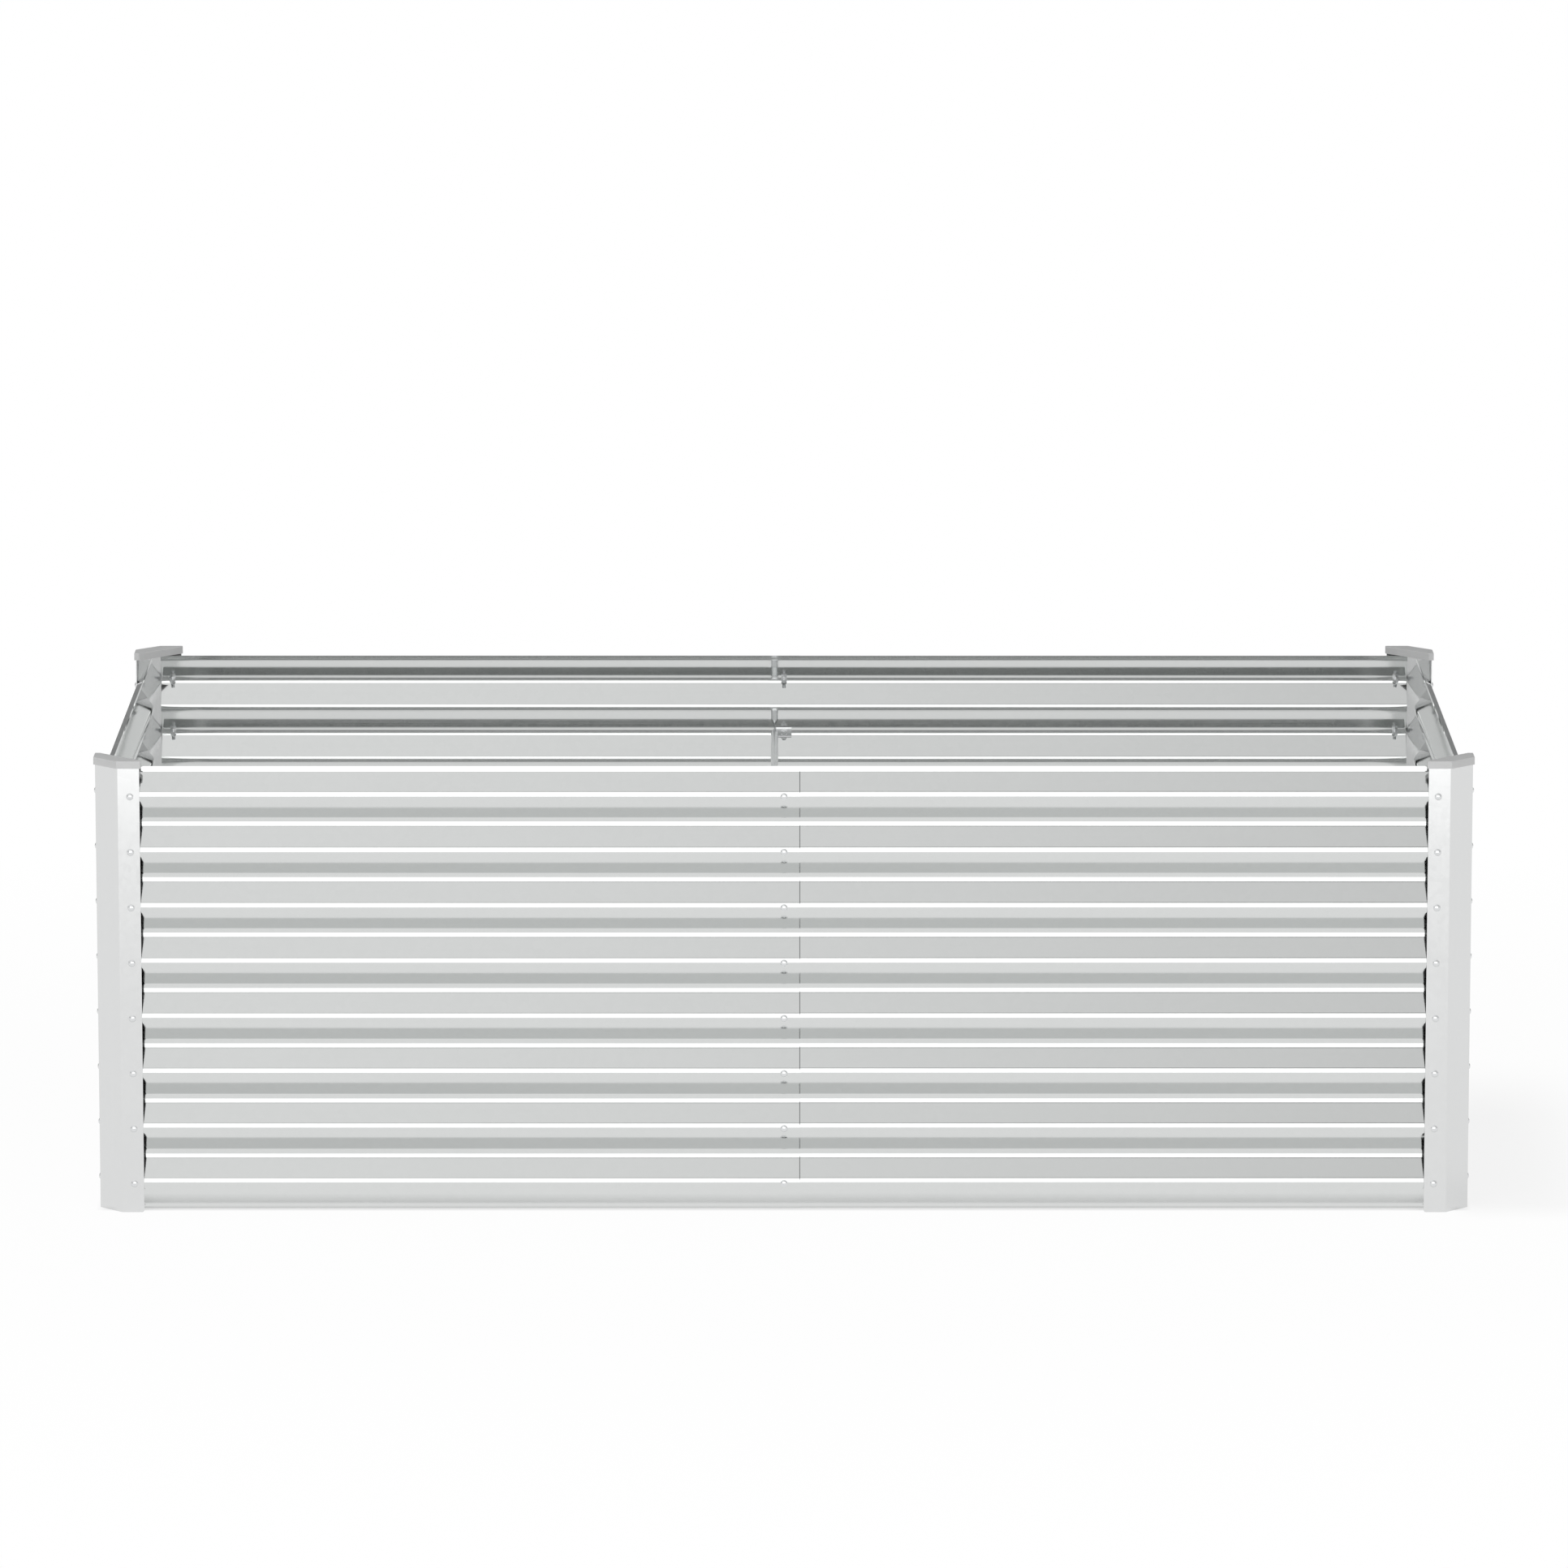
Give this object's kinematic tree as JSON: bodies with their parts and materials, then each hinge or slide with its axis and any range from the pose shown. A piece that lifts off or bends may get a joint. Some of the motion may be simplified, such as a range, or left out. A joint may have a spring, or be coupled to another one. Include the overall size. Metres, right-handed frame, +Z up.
{
  "type": "raised garden bed",
  "caption": "Rectangular raised garden bed of corrugated galvanised sheet, open top and bottom, with folded corner posts, plastic post caps and a cross brace.",
  "frame": {"origin": "on the ground, at the middle of the bed's plan", "axes": "+X along the length to the right of the front, +Y from the front wall to the back wall, +Z up"},
  "size_m": [1.8344, 0.9194, 0.612],
  "materials": {
    "galvanised_corrugated_sheet": "bright galvanised, mirror-like",
    "galvanised_post_sheet": "satin galvanised",
    "grey_plastic": "matte, fine moulded texture",
    "bright_zinc_fasteners": "bright zinc",
    "zinc_plated_tube": "bright zinc, drawn lengthwise"
  },
  "bodies": {
    "root": {"back_panel_left": "galvanised_corrugated_sheet", "back_panel_right": "galvanised_corrugated_sheet", "brace_bolt_back": "bright_zinc_fasteners", "brace_bolt_front": "bright_zinc_fasteners", "brace_nut_back": "bright_zinc_fasteners", "brace_nut_front": "bright_zinc_fasteners", "corner_post_back_left": "galvanised_post_sheet", "corner_post_back_right": "galvanised_post_sheet", "corner_post_front_left": "galvanised_post_sheet", "corner_post_front_right": "galvanised_post_sheet", "cross_brace": "zinc_plated_tube", "end_bolts_back_left": "bright_zinc_fasteners", "end_bolts_back_right": "bright_zinc_fasteners", "end_bolts_front_left": "bright_zinc_fasteners", "end_bolts_front_right": "bright_zinc_fasteners", "end_nuts_back_left": "bright_zinc_fasteners", "end_nuts_back_right": "bright_zinc_fasteners", "end_nuts_front_left": "bright_zinc_fasteners", "end_nuts_front_right": "bright_zinc_fasteners", "end_panel_left": "galvanised_corrugated_sheet", "end_panel_right": "galvanised_corrugated_sheet", "front_panel_left": "galvanised_corrugated_sheet", "front_panel_right": "galvanised_corrugated_sheet", "post_cap_back_left": "grey_plastic", "post_cap_back_right": "grey_plastic", "post_cap_front_left": "grey_plastic", "post_cap_front_right": "grey_plastic", "seam_bolts_back": "bright_zinc_fasteners", "seam_bolts_front": "bright_zinc_fasteners", "seam_nuts_back": "bright_zinc_fasteners", "seam_nuts_front": "bright_zinc_fasteners", "wall_bolts_back_left": "bright_zinc_fasteners", "wall_bolts_back_right": "bright_zinc_fasteners", "wall_bolts_front_left": "bright_zinc_fasteners", "wall_bolts_front_right": "bright_zinc_fasteners", "wall_nuts_back_left": "bright_zinc_fasteners", "wall_nuts_back_right": "bright_zinc_fasteners", "wall_nuts_front_left": "bright_zinc_fasteners", "wall_nuts_front_right": "bright_zinc_fasteners"}
  },
  "joints": []
}
